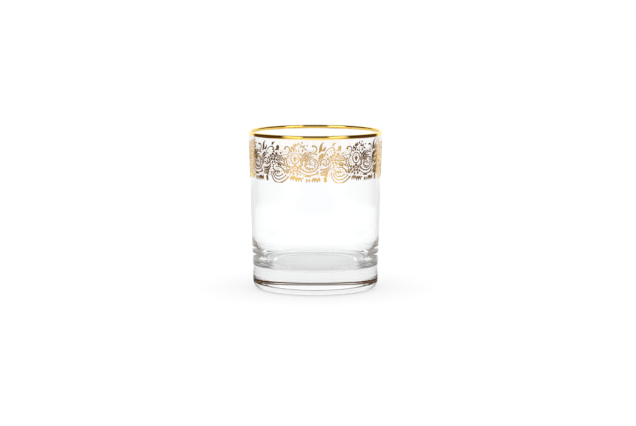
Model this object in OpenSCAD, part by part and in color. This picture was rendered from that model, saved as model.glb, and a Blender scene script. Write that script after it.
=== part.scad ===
// Whisky tumbler with a gilded rim and a printed gold scroll frieze.
// The frieze is one drawing, repeated side by side on the front of the wall.

/* [Glass] */
// Diameter across the outside of the lip
rim_d = 78; // [70:0.5:90]
// Height of the glass from the table to the lip
height = 92.5; // [85:0.5:110]
// Diameter at which the slope of the outer wall would meet the table
foot_d = 72.8; // [66:0.2:77]
// Thickness of the wall, measured level
wall_t = 1.6; // [1.2:0.1:2.6]
// Thickness of the heavy base over the table
base_t = 13.2; // [10:0.1:20]
// How far the inner corner reaches in over the floor
corner_w = 7; // [4:0.1:18]
// How far the inner corner reaches up the wall
corner_h = 18.5; // [12:0.5:26]
// Radius of the outer edge of the foot
foot_round = 3.8; // [1.5:0.1:5]
// Width of the flat ring that the glass rests on
ring_w = 4.6; // [2:0.2:8]
// Depth of the hollow under the base
punt_h = 0.8; // [0.2:0.1:2.5]

/* [Gilding] */
// Thickness of the fired gold
gold_t = 0.12; // [0.08:0.01:0.3]
// Height of the gold band outside the lip
band_out = 2.1; // [1.5:0.1:4]
// Height of the gold band inside the lip
band_in = 1.9; // [1.2:0.1:4]

/* [Frieze] */
// Number of repeats of the drawing, laid side by side on the front
repeats = 4; // [1:1:5]
// Width of one repeat, along the wall
repeat_w = 36.6; // [30:0.2:40]
// Height of the frieze
frieze_h = 24; // [16:0.5:28]
// Bare glass between the rim band and the frieze
frieze_drop = 0.9; // [0.6:0.1:6]
// Width of the drawn scrolls at their thickest
line_w = 0.85; // [0.5:0.05:1.1]
// Diameter of the beads that end the scrolls
bead_d = 1.3; // [0.8:0.1:1.6]
// Bare line left round a motif where it crosses another
knock_w = 0.22; // [0.15:0.01:0.4]

/* [Hidden] */
$fn = 256;

draft = atan((rim_d - foot_d) / 2 / height);
lip_r = wall_t * cos(draft) / 2;
lip_z = height - lip_r;
arc_steps = 12;
corner_steps = 24;

// The drawing of one repeat is laid on a grid of columns and rows
grid_cols = 35;
grid_rows = 24;
frieze_z = height - band_out - frieze_drop - frieze_h;
wrap_r = wall_r(frieze_z + frieze_h / 2);
repeat_a = repeat_w / wrap_r * 180 / PI;
stroke = line_w * grid_rows / frieze_h;
dot = bead_d * grid_rows / frieze_h;
gap = knock_w * grid_rows / frieze_h;
line_steps = 11;
curl_steps = 32;
leaf_steps = 5;
lobe_steps = 4;
bead_sides = 10;
flower_sides = 30;
ring_sides = 24;

function wall_r(z) = foot_d / 2 + z * tan(draft);
function mix(a, b, t) = a + (b - a) * t;
function last(list) = list[len(list) - 1];
function back(list) = [for (i = [len(list) - 1:-1:0]) list[i]];
function arc(c, r, a0, a1) =
    [for (i = [0:arc_steps]) let (a = mix(a0, a1, i / arc_steps)) c + r * [cos(a), sin(a)]];

// Lip from the outer wall over the top to the inner wall, grown by the gold on it
function lip(grow) = arc([wall_r(lip_z) - wall_t / 2, lip_z], lip_r + grow, -draft, 180 - draft);

// Inner corner, from the wall's slope down to a level floor
function inner_corner() = [for (i = [0:corner_steps])
    let (a = 90 * i / corner_steps, z = base_t + corner_h * (1 - sin(a)))
    [wall_r(z) - wall_t - corner_w * (1 - cos(a)), z]];

function foot_edge() =
    arc([wall_r(foot_round) - foot_round / cos(draft), foot_round], foot_round, -90, -draft);

// Hollow under the base, level at its centre and at the resting ring
function punt() = let (r = foot_edge()[0].x - ring_w) [for (i = [0:arc_steps])
    let (t = i / arc_steps) [r * t, punt_h * (1 + cos(180 * t)) / 2]];

module glass_body() {
    color([0.9, 0.93, 0.95, 0.35])
        rotate_extrude()
            polygon(concat(punt(), foot_edge(), lip(0), inner_corner(), [[0, base_t]]));
}

// Gold on the lip: a thin skin over the glass, lower outside than inside
module gold_rim() {
    out_z = height - band_out;
    in_z = height - band_in;
    skin = gold_t / cos(draft);
    color("goldenrod")
        rotate_extrude()
            polygon(concat(
                [[wall_r(out_z), out_z], [wall_r(out_z) + skin, out_z]],
                lip(gold_t),
                [[wall_r(in_z) - wall_t - skin, in_z], [wall_r(in_z) - wall_t, in_z]],
                back(lip(0))));
}

// Lines of the drawing: a free curve, and a scroll that winds in about a centre
function curve(a, b, c, d, n = line_steps) = [for (i = [0:n]) let (t = i / n, s = 1 - t)
    s * s * s * a + 3 * s * s * t * b + 3 * s * t * t * c + t * t * t * d];

function curl(c, r_out, r_in, a0, a1, ease = 3) = [for (i = [0:curl_steps])
    let (t = i / curl_steps, r = r_in + (r_out - r_in) * pow(1 - t, ease), a = mix(a0, a1, t))
    c + r * [cos(a), sin(a)]];

// A leaf's line from its root to its tip, bent to one side by a share of its length
function leaf_line(root, tip, bend) = let (d = tip - root, side = bend * [-d.y, d.x])
    [for (i = [0:leaf_steps]) let (t = i / leaf_steps) root + d * t + side * 4 * t * (1 - t)];

function heading(p, i) =
    let (d = p[min(i + 1, len(p) - 1)] - p[max(i - 1, 0)]) d / norm(d);

function beside(p, i, reach) = p[i] + reach * [-heading(p, i).y, heading(p, i).x];

// Width of a leaf along its length: plain, or drawn in between its lobes
function swell(t, lobes) =
    sin(180 * pow(t, 0.8)) * (lobes == 0 ? 1 : 0.62 + 0.38 * abs(sin(180 * lobes * t)));

// Closed outlines: a tapering line, a leaf, an oval and a flower of five petals
function ribbon(p, w0, w1) = let (n = len(p) - 1) concat(
    [for (i = [0:n]) beside(p, i, mix(w0, w1, i / n) / 2)],
    [for (i = [n:-1:0]) beside(p, i, -mix(w0, w1, i / n) / 2)]);

function blade(p, w, lobes = 0) = let (n = len(p) - 1) concat(
    [p[0]],
    [for (i = [1:n - 1]) beside(p, i, w / 2 * swell(i / n, lobes))],
    [last(p)],
    [for (i = [n - 1:-1:1]) beside(p, i, -w / 2 * swell(i / n, lobes))]);

function oval(c, rx, ry, n) =
    [for (i = [0:n - 1]) let (a = 360 * i / n) c + [rx * cos(a), ry * sin(a)]];

function petals(c, r) = [for (i = [0:flower_sides - 1]) let (a = 360 * i / flower_sides)
    c + r * (0.6 + 0.4 * sqrt(abs(cos(2.5 * a)))) * [sin(a), cos(a)]];

// Lays an outline of the grid on the wall, as it looks square on
module ink(outline) {
    polygon([for (p = outline)
        [wrap_r * sin(p.x * repeat_a / grid_cols), frieze_z + p.y * frieze_h / grid_rows]]);
}

module leaf(root, tip, bend, w) {
    ink(blade(leaf_line(root, tip, bend), w));
}

// An acanthus leaf has lobed edges and a bare vein
module acanthus(a, b, c, d, w, lobes) {
    n = lobes * lobe_steps;
    line = curve(a, b, c, d, n);
    difference() {
        ink(blade(line, w, lobes));
        ink(ribbon([for (i = [2:n - 3]) line[i]], gap, 0.6 * gap));
    }
}

module bead(c, d, grow = 0) {
    ink(oval(c, d / 2 + grow, d / 2 + grow, bead_sides));
}

// A scroll swells along its length and ends in a bead
module scroll(p, w0, w1, grow, bead_size) {
    ink(ribbon(p, w0 + 2 * grow, w1 + 2 * grow));
    bead(last(p), bead_size, grow);
}

// A frond has leaflets on both sides of a thin rib, longest in the middle
module frond(rib, pairs, reach, w) {
    ink(ribbon(rib, 0.5 * w, 0.3 * w));
    for (k = [1:pairs], side = [-1, 1]) {
        i = min(round(k * line_steps / pairs), line_steps);
        h = heading(rib, i);
        out = side * [-h.y, h.x];
        size = reach * (0.7 + 0.3 * sin(180 * k / pairs));
        leaf(rib[i] - 0.3 * h, rib[i] + size * (0.75 * h + 0.65 * out), -0.14 * side, w);
    }
}

// A fan of leaves about a centre
module fan(c, r0, r1, a0, a1, n, w, bend = 0.1) {
    for (k = [0:n - 1]) {
        a = mix(a0, a1, k / (n - 1));
        leaf(c + r0 * [cos(a), sin(a)], c + r1 * [cos(a), sin(a)], bend, w);
    }
}

module rosette(c, r, grow) {
    difference() {
        ink(petals(c, r + grow));
        if (grow == 0)
            ink(oval(c, 0.42 * r, 0.42 * r, bead_sides));
    }
    bead(c, 0.5 * r);
}

module flowers_drawing(grow = 0) {
    rosette([6.3, 8.4], 2.4, grow);
    rosette([-7.5, 14.6], 2.4, grow);
    rosette([-13.4, 5.6], 1.5, grow);
    // Cluster of berries
    for (k = [0:6])
        bead([-2.6, 14.2] + (k == 0 ? 0 : 1.4) * [cos(60 * k), sin(60 * k)], 1.25, grow);
}

module medallion_drawing(grow = 0) {
    c = [6.3, 14.2];
    difference() {
        ink(oval(c, 2.7 + grow, 3.3 + grow, ring_sides));
        if (grow == 0)
            ink(oval(c, 2.1, 2.7, ring_sides));
    }
    ink(oval(c + [0, 0.1], 0.75, 1.0, bead_sides));
    for (side = [-1, 1])
        leaf(c + [0.15 * side, -2.1], c + [1.5 * side, 0.5], 0.2 * side, 0.9);
    bead(c + [0, 1.8], 0.7);
}

module garland_drawing(grow = 0) {
    w = 0.75 * stroke;
    // Swag of three strands, with drops inside it
    scroll(curve([-8.8, 6.4], [-8.1, -1.8], [-1.9, -1.6], [2.2, 3.4]), w, 1.4 * w, grow, dot);
    scroll(curve([-7.7, 6.4], [-7.0, 0.8], [-2.5, 0.6], [0.8, 4.4]), w, w, grow, 0.8 * dot);
    scroll(curve([-6.6, 6.2], [-6.0, 3.2], [-3.5, 3.0], [-1.3, 4.8]), w, w, grow, 0.8 * dot);
    fan([-4.5, 8.4], 1.3, 3.4, 240, 300, 3, 1.0 + 2 * grow, 0);
    // Bellflowers, drops and a bar along the lower edge
    for (bell = [[5.1, 4.2, 1.1], [8.3, 3.6, 1.1], [17.1, 3.4, 1.15]], lean = [-1, 0, 1])
        leaf([bell.x + 0.3 * lean, bell.y], [bell.x + 1.35 * lean, bell.y - 2.7 * bell.z],
            0.14 * lean, bell.z + 2 * grow);
    bead([10.5, 2.9], 1.0, grow);
    ink(blade(curve([11.3, 3.9], [12.7, 4.6], [14.3, 4.4], [15.4, 3.5]), 1.4 + 2 * grow));
    for (k = [0:1])
        leaf([12.6 + 1.4 * k, 3.0], [12.3 + 1.5 * k, 0.3], 0.1, 1.1 + 2 * grow);
    leaf([-15.0, 3.7], [-14.5, 0.8], -0.2, 1.2 + 2 * grow);
}

module scrolls_drawing(grow = 0) {
    w = stroke;
    thin = 0.5 * stroke;
    // Crooks that rise above the belt
    scroll(curl([1.4, 19.8], 4.7, 0.95, -128, 190), thin, w, grow, dot);
    scroll(curl([16.9, 20.4], 5.2, 1.05, -150, 118), thin, w, grow, dot);
    scroll(curl([-8.0, 19.4], 6.4, 0.95, 222, -35, 6), thin, w, grow, dot);
    // Great volute of the belt, and the line that runs below it
    scroll(curl([15.4, 12.0], 7.0, 0.8, 203, 580, 1.5), w, thin, grow, 0.9 * dot);
    scroll(curve([9.4, 6.4], [12.0, 4.4], [15.8, 4.2], [18.7, 5.9]), thin, w, grow, dot);
    // Tendril between the leaves
    scroll(curl([-12.1, 12.3], 3.4, 0.6, 222, -40, 2), w, thin, grow, 0.8 * dot);
    // Brackets beside the medallion
    scroll(curve([3.3, 8.6], [0.9, 10.0], [0.9, 14.0], [2.5, 15.6]), w, thin, grow, dot);
    scroll(curve([9.3, 11.0], [11.1, 12.4], [10.7, 15.2], [9.3, 16.8]), w, thin, grow, dot);
    // Crossing lines beside the garland
    scroll(curve([-6.3, 10.0], [-4.3, 13.2], [-2.1, 11.4], [-0.5, 10.2]), thin, w, grow, dot);
    scroll(curve([-5.9, 8.8], [-3.3, 9.6], [-0.9, 8.8], [0.1, 6.4]), thin, w, grow, dot);
}

module leaves_drawing() {
    // Fronds above the medallion
    frond(curve([3.5, 18.0], [4.3, 20.0], [5.9, 21.6], [8.1, 22.4]), 4, 1.9, 0.8);
    frond(curve([8.1, 19.0], [8.9, 21.4], [11.1, 22.0], [12.1, 19.8]), 3, 1.8, 0.8);
    leaf([5.3, 18.2], [7.1, 20.4], 0.15, 1.0);
    leaf([10.1, 17.6], [10.5, 20.2], -0.15, 1.0);
    // Slender leaves between the crooks
    ink(blade(curve([-16.0, 17.4], [-13.5, 19.4], [-16.1, 21.8], [-12.6, 23.9]), 1.6));
    leaf([-14.4, 18.4], [-12.2, 21.6], -0.2, 1.3);
    // Bud and calyx at the end of the third crook
    leaf([-8.1, 21.0], [-5.9, 23.2], 0.2, 1.2);
    ink(oval([-4.1, 20.3], 1.05, 1.25, bead_sides));
    leaf([-6.2, 18.3], [-2.9, 18.6], 0.2, 1.1);
    // Acanthus about the great volute
    acanthus([10.4, 9.6], [9.0, 15.2], [12.6, 19.0], [19.4, 16.2], 3.4, 6);
    acanthus([12.2, 9.6], [12.2, 13.6], [13.8, 15.8], [17.4, 15.2], 2.2, 4);
    acanthus([11.4, 10.9], [12.3, 7.8], [16.4, 7.2], [18.0, 10.2], 1.9, 5);
    // Acanthus that springs from the volute to the right
    acanthus([-15.0, 8.5], [-12.8, 6.2], [-9.6, 7.4], [-8.8, 11.6], 3.0, 6);
    acanthus([-15.2, 12.0], [-15.4, 15.0], [-13.4, 17.4], [-10.2, 16.4], 2.8, 6);
    fan([-12.1, 12.3], 1.5, 3.1, -25, 50, 3, 1.1);
    // Leaves that fill the belt at both ends of the repeat
    fan([-7.5, 14.6], 2.2, 4.1, -70, 75, 5, 1.4);
    fan([6.3, 8.4], 2.3, 4.4, 158, 250, 4, 1.4);
    fan([6.3, 8.4], 2.3, 4.4, -70, 22, 4, 1.4);
    fan([-2.6, 14.2], 2.2, 3.6, 80, 135, 2, 1.4);
    leaf([-1.3, 12.4], [0.3, 14.2], 0.2, 1.3);
    for (k = [0:1])
        leaf([-4.9 + 1.5 * k, 11.8 - 0.5 * k], [-3.6 + 1.4 * k, 9.2 - 0.4 * k], 0.15, 1.4);
    // Palmette that crowns the medallion
    fan([6.3, 14.2], 3.75, 5.3, 62, 118, 4, 1.05, 0);
    // Small leaves in the open places: the volute's eye, the tendril, both sides of the brackets
    fan([15.6, 11.7], 1.3, 3.0, -50, 58, 5, 0.8);
    fan([15.0, 12.2], 1.2, 2.4, 215, 290, 3, 0.85);
    fan([-11.9, 12.1], 0.9, 2.7, 196, 308, 4, 1.0, 0.14);
    fan([2.9, 12.0], 2.3, 3.9, 138, 222, 5, 1.05, -0.1);
    fan([9.0, 13.8], 2.0, 3.2, -58, -14, 2, 0.9);
    fan([-7.5, 14.6], 2.3, 4.0, 196, 268, 3, 1.25, -0.12);
    fan([-5.2, 8.9], 1.5, 3.3, 147, 230, 4, 0.85, 0.12);
    fan([-0.6, 8.4], 1.4, 2.8, 20, 84, 3, 1.0, 0.12);
    leaf([17.4, 6.4], [19.4, 7.6], -0.2, 1.0);
    // Sprig between the swag and the medallion, and seeds at the tips of the fronds
    for (side = [-1, 1])
        leaf([1.5 - 0.2 * side, 5.3], [1.5 + 1.1 * side, 8.0], -0.15 * side, 1.0);
    leaf([1.5, 5.8], [1.5, 9.0], 0, 0.9);
    bead([10.4, 23.2], 1.0);
    bead([13.2, 21.6], 0.9);
    // Fern that hangs beside the swag
    frond(curve([-10.3, 7.6], [-11.5, 5.6], [-12.3, 3.6], [-11.9, 1.6]), 5, 1.9, 0.9);
}

// The drawings as gold on the wall: what lies above leaves a bare line in what lies below
module frieze(i) {
    top = frieze_z + frieze_h + gold_t;
    low = frieze_z - gold_t;
    color("goldenrod")
        intersection() {
            rotate_extrude()
                polygon([[wall_r(low), low], [wall_r(low) + gold_t, low],
                    [wall_r(top) + gold_t, top], [wall_r(top), top]]);
            rotate([0, 0, (i - (repeats + 1) / 2) * repeat_a])
                translate([0, -wrap_r / 2, 0])
                    rotate([90, 0, 0])
                        linear_extrude(wrap_r)
                            children();
        }
}

module frieze_flowers(i) {
    frieze(i) flowers_drawing();
}

module frieze_medallion(i) {
    frieze(i) medallion_drawing();
}

module frieze_garland(i) {
    frieze(i) garland_drawing();
}

module frieze_scrolls(i) {
    frieze(i) difference() {
        scrolls_drawing();
        flowers_drawing(gap);
        medallion_drawing(gap);
        garland_drawing(gap);
    }
}

module frieze_leaves(i) {
    frieze(i) difference() {
        leaves_drawing();
        flowers_drawing(gap);
        medallion_drawing(gap);
        garland_drawing(gap);
        scrolls_drawing(gap);
    }
}

glass_body();
gold_rim();
for (i = [1:repeats]) {
    frieze_scrolls(i);
    frieze_leaves(i);
    frieze_flowers(i);
    frieze_medallion(i);
    frieze_garland(i);
}
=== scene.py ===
import bpy, bmesh
from math import atan, atan2, cos, hypot, pi, radians, sin
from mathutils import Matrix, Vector
from mathutils.bvhtree import BVHTree


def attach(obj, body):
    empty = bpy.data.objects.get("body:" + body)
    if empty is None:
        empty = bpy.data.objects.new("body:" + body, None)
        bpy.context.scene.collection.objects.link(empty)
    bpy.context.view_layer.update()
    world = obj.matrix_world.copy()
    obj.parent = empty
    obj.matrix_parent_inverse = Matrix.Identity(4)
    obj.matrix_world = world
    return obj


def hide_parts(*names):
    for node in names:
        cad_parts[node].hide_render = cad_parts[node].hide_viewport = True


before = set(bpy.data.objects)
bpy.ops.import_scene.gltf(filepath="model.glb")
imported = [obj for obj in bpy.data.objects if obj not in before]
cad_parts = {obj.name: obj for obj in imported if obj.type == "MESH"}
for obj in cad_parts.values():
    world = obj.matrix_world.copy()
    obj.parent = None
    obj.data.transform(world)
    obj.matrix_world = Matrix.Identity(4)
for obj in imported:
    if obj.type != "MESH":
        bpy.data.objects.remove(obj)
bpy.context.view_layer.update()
scene = bpy.context.scene
print("frame loaded:", len(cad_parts), "nodes")


# ways to make meshes
def arcPoints(x, z, radius, start, end, count):
    steps = [start + (end - start) * i / count for i in range(count + 1)]
    return [(x + radius * cos(a), z + radius * sin(a)) for a in steps]


def turnProfile(points, turns, closed):
    bm = bmesh.new()
    ring = [bm.verts.new((x, 0, z)) for x, z in points]
    pairs = list(zip(ring, ring[1:])) + ([(ring[-1], ring[0])] if closed else [])
    edges = [bm.edges.new(pair) for pair in pairs]
    bmesh.ops.spin(bm, geom=ring + edges, cent=(0, 0, 0), axis=(0, 0, 1), angle=2 * pi,
                   steps=turns, use_merge=True)
    bmesh.ops.remove_doubles(bm, verts=bm.verts, dist=1e-7)
    bmesh.ops.recalc_face_normals(bm, faces=bm.faces)
    return bm


def makePiece(name, bm, material):
    mesh = bpy.data.meshes.new(name)
    bm.to_mesh(mesh)
    bm.free()
    mesh.shade_smooth()
    mesh.materials.append(material)
    piece = bpy.data.objects.new(name, mesh)
    scene.collection.objects.link(piece)
    return piece


# ways to make node trees
def startMaterial(name):
    material = bpy.data.materials.new(name)
    material.use_nodes = True
    nodes = material.node_tree.nodes
    return material, nodes, material.node_tree.links, nodes["Principled BSDF"]


def addNode(nodes, kind, **values):
    node = nodes.new("ShaderNode" + kind)
    for key, value in values.items():
        if key in node.inputs:
            node.inputs[key].default_value = value
        else:
            setattr(node, key, value)
    return node


def addNoise(nodes, links, place, scale, detail):
    noise = addNode(nodes, "TexNoise", Scale=scale, Detail=detail)
    links.new(place, noise.inputs["Vector"])
    return noise.outputs["Fac"]


def addBump(nodes, links, shader, height, strength, distance):
    bump = addNode(nodes, "Bump", Strength=strength, Distance=distance)
    links.new(height, bump.inputs["Height"])
    links.new(bump.outputs["Normal"], shader.inputs["Normal"])


def stretch(nodes, links, value, source, target=(0, 1), way="LINEAR"):
    node = addNode(nodes, "MapRange", interpolation_type=way)
    for socket, number in zip(("From Min", "From Max", "To Min", "To Max"), (*source, *target)):
        node.inputs[socket].default_value = number
    links.new(value, node.inputs["Value"])
    return node.outputs["Result"]


def isAbove(nodes, links, value, limit):
    test = addNode(nodes, "Math", operation="GREATER_THAN")
    links.new(value, test.inputs[0])
    test.inputs[1].default_value = limit
    return test.outputs[0]


def mixColours(nodes, links, factor, first, second):
    mix = addNode(nodes, "Mix", data_type="RGBA")
    for socket, value in ((0, factor), (6, first), (7, second)):
        if isinstance(value, bpy.types.NodeSocket):
            links.new(value, mix.inputs[socket])
        else:
            mix.inputs[socket].default_value = value
    return mix.outputs[2]


# clear glass, with the faint waves of a pressed wall and a breath of haze
glassLook = {"tint": (0.985, 0.99, 0.992, 1), "ior": 1.52, "gleam": 0.15, "shadow": (0.9, 0.91, 0.92, 1),
             "waveScale": 42, "waveDetail": 1.0, "waveBump": 0.008, "waveHeight": 0.001,
             "hazeScale": 160, "hazeDetail": 4.0, "hazeFrom": (0.45, 0.8), "hazeTo": (0.0, 0.003),
             "depthTint": (0.8, 0.805, 0.8, 1), "depth": 8.0}


def makeGlassLook(look):
    material, nodes, links, shader = startMaterial("clearGlass")
    shader.inputs["Base Color"].default_value = look["tint"]
    shader.inputs["IOR"].default_value = look["ior"]
    shader.inputs["Transmission Weight"].default_value = 1
    shader.inputs["Specular IOR Level"].default_value = look["gleam"]
    place = addNode(nodes, "TexCoord").outputs["Object"]
    wave = addNoise(nodes, links, place, look["waveScale"], look["waveDetail"])
    addBump(nodes, links, shader, wave, look["waveBump"], look["waveHeight"])
    haze = addNoise(nodes, links, place, look["hazeScale"], look["hazeDetail"])
    links.new(stretch(nodes, links, haze, look["hazeFrom"], look["hazeTo"]), shader.inputs["Roughness"])
    # lamps reach what is behind the glass
    passing = addNode(nodes, "BsdfTransparent", Color=look["shadow"])
    path = addNode(nodes, "LightPath")
    mix = addNode(nodes, "MixShader")
    links.new(path.outputs["Is Shadow Ray"], mix.inputs[0])
    links.new(shader.outputs["BSDF"], mix.inputs[1])
    links.new(passing.outputs["BSDF"], mix.inputs[2])
    links.new(mix.outputs["Shader"], nodes["Material Output"].inputs["Surface"])
    # thick glass is a little grey
    body = addNode(nodes, "VolumeAbsorption", Color=look["depthTint"], Density=look["depth"])
    links.new(body.outputs["Volume"], nodes["Material Output"].inputs["Volume"])
    return material


# fired gold of the print, brushed thin in places; the rim's gold is brighter and smoother
goldLook = {"rich": (0.96, 0.65, 0.13, 1), "richFrom": 0.35, "pale": (0.88, 0.63, 0.4, 1), "paleFrom": 0.7,
            "cloudScale": 170, "cloudDetail": 3.0, "clouds": (0.3, 0.7), "roughness": (0.12, 0.24),
            "grainScale": 2600, "grainDetail": 2.0, "grainBump": 0.05, "grainHeight": 0.0001}
rimLook = {**goldLook, "pale": (0.97, 0.7, 0.2, 1), "roughness": (0.03, 0.06)}


def makeGoldLook(name, look):
    material, nodes, links, shader = startMaterial(name)
    shader.inputs["Metallic"].default_value = 1
    place = addNode(nodes, "TexCoord").outputs["Object"]
    cloud = addNoise(nodes, links, place, look["cloudScale"], look["cloudDetail"])
    tone = addNode(nodes, "ValToRGB")
    for spot, shade in zip(tone.color_ramp.elements, ("rich", "pale")):
        spot.position = look[shade + "From"]
        spot.color = look[shade]
    links.new(cloud, tone.inputs["Fac"])
    links.new(tone.outputs["Color"], shader.inputs["Base Color"])
    links.new(stretch(nodes, links, cloud, look["clouds"], look["roughness"]), shader.inputs["Roughness"])
    grain = addNoise(nodes, links, place, look["grainScale"], look["grainDetail"])
    addBump(nodes, links, shader, grain, look["grainBump"], look["grainHeight"])
    return material


clearGlass = makeGlassLook(glassLook)
firedGold = makeGoldLook("firedGold", goldLook)
brightGold = makeGoldLook("brightGold", rimLook)
print("materials made")

# glass body: conical wall, round lip, heavy base; the gold is seated in it by a hair
glassForm = {"rimRadius": 0.039, "footRadius": 0.0364, "height": 0.0925, "wall": 0.0016, "base": 0.0132,
             "cornerReach": 0.007, "cornerRise": 0.0185, "footRound": 0.0046, "restRing": 0.0046,
             "puntDepth": 0.0009, "puntFlat": 0.85, "goldSeat": 0.00003, "turns": 256,
             "puntSteps": 16, "footSteps": 14, "lipSteps": 16, "cornerSteps": 40,
             "wallShares": (0.004, 0.02, 0.1, 0.25, 0.4, 0.55, 0.7, 0.85, 0.95, 0.98, 0.996),
             "puntShares": (0, 0.3, 0.6, 0.9), "floorShares": (0.98, 0.9, 0.6, 0.3, 0)}
slope = (glassForm["rimRadius"] - glassForm["footRadius"]) / glassForm["height"]
lean = atan(slope)
lipRadius = glassForm["wall"] * cos(lean) / 2
lipHeight = glassForm["height"] - lipRadius


def wallRadius(z):
    return glassForm["footRadius"] + z * slope


def lipArc(grow):
    x = wallRadius(lipHeight) - glassForm["wall"] / 2
    return arcPoints(x, lipHeight, lipRadius + grow, -lean, pi - lean, glassForm["lipSteps"])


def glassProfile(form):
    seat, edge = form["goldSeat"], form["footRound"]
    count = form["footSteps"]
    foot = arcPoints(wallRadius(edge) - edge / cos(lean), edge, edge, -pi / 2, -lean, count)
    foot = [(x + seat * i / count, z) for i, (x, z) in enumerate(foot)]
    # flat recess under the base, with a soft step to the resting ring
    ring = foot[0][0] - form["restRing"]
    flat = ring * form["puntFlat"]
    depth, count = form["puntDepth"], form["puntSteps"]
    punt = [(flat * s, depth) for s in form["puntShares"]]
    for i in range(count + 1):
        punt.append((flat + (ring - flat) * i / count, depth * (1 + cos(pi * i / count)) / 2))
    wall = [edge + (lipHeight - edge) * s for s in form["wallShares"]]
    wall = [(wallRadius(z) + seat, z) for z in wall]
    corner, count = [], form["cornerSteps"]
    for i in range(count + 1):
        a = pi / 2 * i / count
        z = form["base"] + form["cornerRise"] * (1 - sin(a))
        corner.append((wallRadius(z) - form["wall"] - form["cornerReach"] * (1 - cos(a)), z))
    top = corner[0][1]
    inside = [lipHeight + (top - lipHeight) * s for s in form["wallShares"]]
    inside = [(wallRadius(z) - form["wall"], z) for z in inside]
    floorRadius = corner[-1][0]
    level = [(floorRadius * s, form["base"]) for s in form["floorShares"]]
    return punt + foot + wall + lipArc(seat) + inside + corner + level


glassBody = makePiece("glassBody", turnProfile(glassProfile(glassForm), glassForm["turns"], False), clearGlass)
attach(glassBody, "root")
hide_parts("glass_body")
print("glass body turned:", len(glassBody.data.polygons), "faces")

# gilding of the lip: a skin over the glass whose lower edges waver as a brushed line does
rimForm = {"film": 0.0001, "thin": 0.00006, "root": 0.00002, "bandOut": 0.0021, "bandIn": 0.0019,
           "edgeOut": 0.8, "edgeIn": 0.6, "waver": 0.00004, "waves": ((3, 0.4, 1), (7, 2, 0.6), (13, 0, 0.4)),
           "innerShift": 1.3, "turns": 256}


def rimProfile(form):
    outZ = glassForm["height"] - form["bandOut"]
    inZ = glassForm["height"] - form["bandIn"]
    film, thin, root = form["film"], form["thin"], form["root"]
    inner = wallRadius(inZ) - glassForm["wall"]
    skin = [(wallRadius(outZ) - root, outZ), (wallRadius(outZ) + thin * form["edgeOut"], outZ),
            (wallRadius(outZ) + thin, outZ + thin), (wallRadius(lipHeight) + film, lipHeight - film)]
    skin += lipArc(film)
    skin += [(wallRadius(lipHeight) - glassForm["wall"] - film, lipHeight - film), (inner - film, inZ + film),
             (inner - film * form["edgeIn"], inZ), (inner + root, inZ)]
    return skin + list(reversed(lipArc(-root)))


def waverEdges(bm, form):
    for vert in bm.verts:
        outside = vert.co.xy.length > wallRadius(vert.co.z) - glassForm["wall"] / 2
        edgeZ = glassForm["height"] - form["bandOut" if outside else "bandIn"]
        if vert.co.z < edgeZ + 2 * form["film"]:
            a = atan2(vert.co.y, vert.co.x) + (0 if outside else form["innerShift"])
            waves = [size * sin(count * a + start) for count, start, size in form["waves"]]
            vert.co.z += form["waver"] * sum(waves)


rimMesh = turnProfile(rimProfile(rimForm), rimForm["turns"], True)
waverEdges(rimMesh, rimForm)
goldRim = makePiece("goldRim", rimMesh, brightGold)
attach(goldRim, "root")
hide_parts("gold_rim")
print("gold rim turned:", len(goldRim.data.polygons), "faces")

# the frieze keeps its solids and takes the gold
friezeNodes = [node for name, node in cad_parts.items() if name.startswith("frieze_")]
for node in friezeNodes:
    for place in node.material_slots:
        place.material = firedGold
print("frieze gilded:", len(friezeNodes), "nodes")

# tracery: hair-fine curls of the print in the open places of its belt
traceryForm = {"low": 0.0698, "high": 0.0845, "reach": 1.86, "step": 0.0004, "margin": 0.00018,
               "least": 0.00036, "most": 0.0012, "line": 0.00024, "tip": 0.55, "film": 0.00006, "root": 0.00002,
               "winding": 9.0, "smallWinding": 0.25, "shrink": 0.8, "turned": 2.4, "steps": 16}
beltRadius = wallRadius((traceryForm["low"] + traceryForm["high"]) / 2)


def onWall(turn, z, height):
    radius = wallRadius(z) + height
    return Vector((radius * sin(turn), -radius * cos(turn), z))


# a grid of spots on the belt, each with its distance from the gold; the roomiest are taken first
def findOpenPlaces(form):
    points, faces = [], []
    for node in friezeNodes:
        start = len(points)
        points += [node.matrix_world @ vert.co for vert in node.data.vertices]
        faces += [[start + i for i in face.vertices] for face in node.data.polygons]
    gold = BVHTree.FromPolygons(points, faces)
    spots = []
    for row in range(int((form["high"] - form["low"]) / form["step"]) + 1):
        z = form["low"] + row * form["step"]
        for column in range(int(2 * form["reach"] * beltRadius / form["step"]) + 1):
            turn = column * form["step"] / beltRadius - form["reach"]
            spots.append((gold.find_nearest(onWall(turn, z, 0))[3] - form["margin"], turn, z))
    spots = sorted((spot for spot in spots if spot[0] > form["least"]), reverse=True)
    chosen = []
    for size, turn, z in spots:
        size = min(size, form["most"])
        for otherSize, otherTurn, otherZ in chosen:
            size = min(size, hypot((turn - otherTurn) * beltRadius, z - otherZ) - otherSize - form["margin"])
            if size < form["least"]:
                break
        else:
            chosen.append((size, turn, z))
    return chosen


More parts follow.
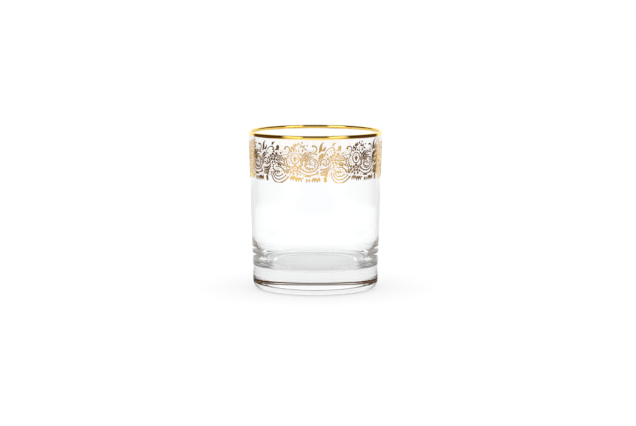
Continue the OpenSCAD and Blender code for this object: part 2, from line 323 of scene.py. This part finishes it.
# one curl: a flat strip on the wall that winds inwards and widens
def addCurl(bm, form, index, size, turn, z):
    hand = 1 if index % 2 else -1
    winding = form["winding"] * min(1, size / form["most"] + form["smallWinding"])
    line, count = [], form["steps"]
    for i in range(count + 1):
        t = i / count
        a = form["turned"] * index + hand * winding * t
        reach = size * (1 - form["shrink"] * t)
        line.append((reach * cos(a), reach * sin(a)))
    corners = [(1, form["film"]), (-1, form["film"]), (-1, -form["root"]), (1, -form["root"])]
    last = None
    for i, (x, y) in enumerate(line):
        (x0, y0), (x1, y1) = line[max(i - 1, 0)], line[min(i + 1, count)]
        length = hypot(x1 - x0, y1 - y0)
        half = form["line"] / 2 * (form["tip"] + (1 - form["tip"]) * i / count)
        dx, dy = -(y1 - y0) / length * half, (x1 - x0) / length * half
        ring = [bm.verts.new(onWall(turn + (x + side * dx) / beltRadius, z + y + side * dy, height))
                for side, height in corners]
        if last:
            for j in range(4):
                bm.faces.new((last[j], last[j - 3], ring[j - 3], ring[j]))
        if i in (0, count):
            bm.faces.new(ring)
        last = ring


traceryMesh = bmesh.new()
openPlaces = findOpenPlaces(traceryForm)
for index, (size, turn, z) in enumerate(openPlaces):
    addCurl(traceryMesh, traceryForm, index, size, turn, z)
bmesh.ops.recalc_face_normals(traceryMesh, faces=traceryMesh.faces)
tracery = makePiece("friezeTracery", traceryMesh, firedGold)
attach(tracery, "root")
print("tracery drawn:", len(openPlaces), "curls")

# tones painted on the stage for reflections only: painted dark cards, painted greys and painted softbox
# highlights
# flash is a painted highlight; slate, dusk, brown and umber are painted dark cards
white, clear, flash = (1, 1, 1, 1), (1.15, 1.15, 1.15, 1), (2.2, 2.2, 2.2, 1)
mist, haze, pale = (0.84, 0.84, 0.84, 1), (0.74, 0.74, 0.75, 1), (0.6, 0.6, 0.6, 1)
mauve, dusk, slate = (0.46, 0.4, 0.48, 1), (0.16, 0.15, 0.13, 1), (0.05, 0.05, 0.05, 1)
brown, umber = (0.1, 0.045, 0.025, 1), (0.05, 0.026, 0.014, 1)
# where these painted reflections lie round the glass, from the viewer's side (0) to behind it (1)
aroundNear = [(0.25, pale), (0.38, slate), (0.8, slate), (0.93, white)]
aroundMid = [(0.3, white), (0.45, mist), (0.75, mist), (0.9, haze)]
aroundBase = [(0.1, haze), (0.3, white), (0.45, mist), (0.75, mist), (0.9, haze)]
aroundSides = [(0.06, white), (0.28, brown), (0.78, brown), (0.87, haze)]
aroundFar = [(0.06, mauve), (0.26, brown), (0.78, brown), (0.87, white)]
aroundInner = [(0.06, mauve), (0.2, mist), (0.75, mist), (0.9, haze)]
aroundTable = [(0.035, dusk), (0.055, white), (0.2, white), (0.26, umber), (0.8, umber), (0.87, white)]
# the room's painted reflection: painted softbox highlights (flash) between painted dark cards, whiter behind
aroundRoom = [(0.035, dusk), (0.055, flash), (0.2, flash), (0.26, umber), (0.8, umber), (0.87, clear)]
# few and wander count reflections: up to few the room is plain inside the glass, past wander everything
# reflected is a painted dark shade
roomLook = {"few": 2.5, "wander": 6.5, "paintedDeepShade": (0.2, 0.15, 0.085, 1), "top": (0.12, 0.12, 0.12, 1),
            # top is a painted dark overhead, seen only in reflections, fading in over topRange
            "topRange": (0.6, 0.85)}


def makeAround(nodes, links, place, stops):
    flat = addNode(nodes, "VectorMath", operation="MULTIPLY")
    flat.inputs[1].default_value = (1, 1, 0)
    links.new(place, flat.inputs[0])
    unit = addNode(nodes, "VectorMath", operation="NORMALIZE")
    links.new(flat.outputs["Vector"], unit.inputs[0])
    parts = addNode(nodes, "SeparateXYZ")
    links.new(unit.outputs["Vector"], parts.inputs[0])
    ramp = addNode(nodes, "ValToRGB")
    ramp.color_ramp.interpolation = "EASE"
    spots = ramp.color_ramp.elements
    while len(spots) < len(stops):
        spots.new(0.5)
    for spot, (position, colour) in zip(spots, stops):
        spot.position = position
        spot.color = colour
    links.new(stretch(nodes, links, parts.outputs["Y"], (-1, 1)), ramp.inputs["Fac"])
    return ramp.outputs["Color"]


# white to the camera and through the glass; reflections see a painted pattern: gold the outer one, faces inside
# the glass the inner one
def seenColour(nodes, links, outer, inner, look):
    path = addNode(nodes, "LightPath")
    inGlass = isAbove(nodes, links, path.outputs["Transmission Depth"], 0.5)
    inMirror = isAbove(nodes, links, path.outputs["Glossy Depth"], 0.5)
    wandering = isAbove(nodes, links, path.outputs["Glossy Depth"], look["wander"])
    mirrored = mixColours(nodes, links, inGlass, outer, inner)
    # past wander, reflections see a painted dark shade instead of the room
    mirrored = mixColours(nodes, links, wandering, mirrored, look["paintedDeepShade"])
    return mixColours(nodes, links, inMirror, white, mirrored), inMirror, path


# stage: a white table whose own shade shows through the white; its rings are painted reflections of dark cards
# and bright zones that only reflections see, as (start, end, pattern)
tableForm = {"width": 6.0, "paper": (0.97, 0.97, 0.97, 1), "roughness": 0.9, "shadowShare": 0.45, "glow": 1.12,
             "rings": [(0.01, 0.04, aroundNear), (0.09, 0.14, aroundMid), (0.33, 0.375, aroundSides),
                       (0.42, 0.54, aroundFar), (0.7, 0.8, aroundTable)],
             # innerRings are the painted reflection that faces inside the glass see, with painted dark sides
             # near the glass
             "innerRings": [(0.01, 0.04, aroundNear), (0.09, 0.14, aroundBase), (0.42, 0.54, aroundInner)]}


def makeTable(form):
    material, nodes, links, shader = startMaterial("whiteTable")
    shader.inputs["Base Color"].default_value = form["paper"]
    shader.inputs["Roughness"].default_value = form["roughness"]
    shader.inputs["Specular IOR Level"].default_value = 0
    place = addNode(nodes, "TexCoord").outputs["Object"]
    length = addNode(nodes, "VectorMath", operation="LENGTH")
    links.new(place, length.inputs[0])
    wholes = []
    for rings in (form["rings"], form["innerRings"]):
        whole = white
        for start, end, stops in rings:
            share = stretch(nodes, links, length.outputs["Value"], (start, end), way="SMOOTHSTEP")
            whole = mixColours(nodes, links, share, whole, makeAround(nodes, links, place, stops))
        wholes.append(whole)
    colour, inMirror, path = seenColour(nodes, links, *wholes, roomLook)
    # the table's emission: white to the camera, the painted reflection patterns to reflections
    glow = addNode(nodes, "Emission", Strength=form["glow"])
    links.new(colour, glow.inputs["Color"])
    cover = addNode(nodes, "Math", operation="MAXIMUM")
    links.new(inMirror, cover.inputs[0])
    cover.inputs[1].default_value = 1 - form["shadowShare"]
    mix = addNode(nodes, "MixShader")
    links.new(cover.outputs[0], mix.inputs[0])
    links.new(shader.outputs["BSDF"], mix.inputs[1])
    links.new(glow.outputs["Emission"], mix.inputs[2])
    links.new(mix.outputs["Shader"], nodes["Material Output"].inputs["Surface"])
    bm = bmesh.new()
    bmesh.ops.create_grid(bm, x_segments=1, y_segments=1, size=form["width"] / 2)
    return makePiece("whiteTable", bm, material)


makeTable(tableForm)
print("table set")


# room: white to the camera, through the glass and for soft light; reflections see painted dark cards, painted
# softbox highlights and a painted dark top
def makeRoom(look):
    world = bpy.data.worlds.new("room")
    scene.world = world
    world.use_nodes = True
    nodes, links = world.node_tree.nodes, world.node_tree.links
    nodes.clear()
    place = addNode(nodes, "TexCoord").outputs["Generated"]
    parts = addNode(nodes, "SeparateXYZ")
    links.new(place, parts.inputs[0])
    # painted shade: reflections see a dark top overhead in place of the white room
    above = stretch(nodes, links, parts.outputs["Z"], look["topRange"], way="SMOOTHSTEP")
    outer = mixColours(nodes, links, above, makeAround(nodes, links, place, aroundRoom), look["top"])
    plain = mixColours(nodes, links, above, clear, look["top"])
    bounces = addNode(nodes, "LightPath").outputs["Glossy Depth"]
    inner = mixColours(nodes, links, isAbove(nodes, links, bounces, look["few"]), plain, outer)
    colour, inMirror, path = seenColour(nodes, links, outer, inner, look)
    light = addNode(nodes, "Background")
    links.new(mixColours(nodes, links, path.outputs["Is Diffuse Ray"], colour, white), light.inputs["Color"])
    out = addNode(nodes, "OutputWorld")
    links.new(light.outputs["Background"], out.inputs["Surface"])


makeRoom(roomLook)
print("room set")

# softboxes at the front left and front right
softboxForm = {"angle": 43, "distance": 0.7, "height": 0.16, "width": 0.52, "tall": 0.5, "glow": 0.2,
               "aim": (0, 0, 0.06)}


def pointAt(thing, aim):
    thing.rotation_euler = (aim - thing.location).to_track_quat("-Z", "Y").to_euler()


def makeSoftbox(side, form):
    lamp = bpy.data.lights.new("softbox", "AREA")
    lamp.shape = "RECTANGLE"
    lamp.size, lamp.size_y = form["width"], form["tall"]
    lamp.energy = form["glow"] * pi * form["width"] * form["tall"]
    box = bpy.data.objects.new("softbox", lamp)
    scene.collection.objects.link(box)
    a = radians(form["angle"])
    box.location = (side * form["distance"] * sin(a), -form["distance"] * cos(a), form["height"])
    pointAt(box, Vector(form["aim"]))
    # the softboxes are hidden from reflections; their highlights there are painted into the room as flash
    box.visible_glossy = False


for side in (-1, 1):
    makeSoftbox(side, softboxForm)
print("lights set")

# camera at the photograph's angle
cameraForm = {"distance": 1.2355, "raise": 7.269, "lens": 119.04, "sensor": 36, "clip": (0.05, 20),
              "aim": (0.0015, 0, 0.04379)}
lens = bpy.data.cameras.new("camera")
lens.lens = cameraForm["lens"]
lens.sensor_width = cameraForm["sensor"]
lens.clip_start, lens.clip_end = cameraForm["clip"]
camera = bpy.data.objects.new("camera", lens)
scene.collection.objects.link(camera)
aim = Vector(cameraForm["aim"])
raised = radians(cameraForm["raise"])
camera.location = aim + cameraForm["distance"] * Vector((0, -cos(raised), sin(raised)))
pointAt(camera, aim)
scene.camera = camera
print("camera set")

# light wanders long in the thick base
bounceForm = {"max_bounces": 96, "transmission_bounces": 96, "glossy_bounces": 96,
              "transparent_max_bounces": 24}
for name, count in bounceForm.items():
    setattr(scene.cycles, name, count)
scene.cycles.caustics_refractive = False
scene.view_settings.view_transform = "Standard"
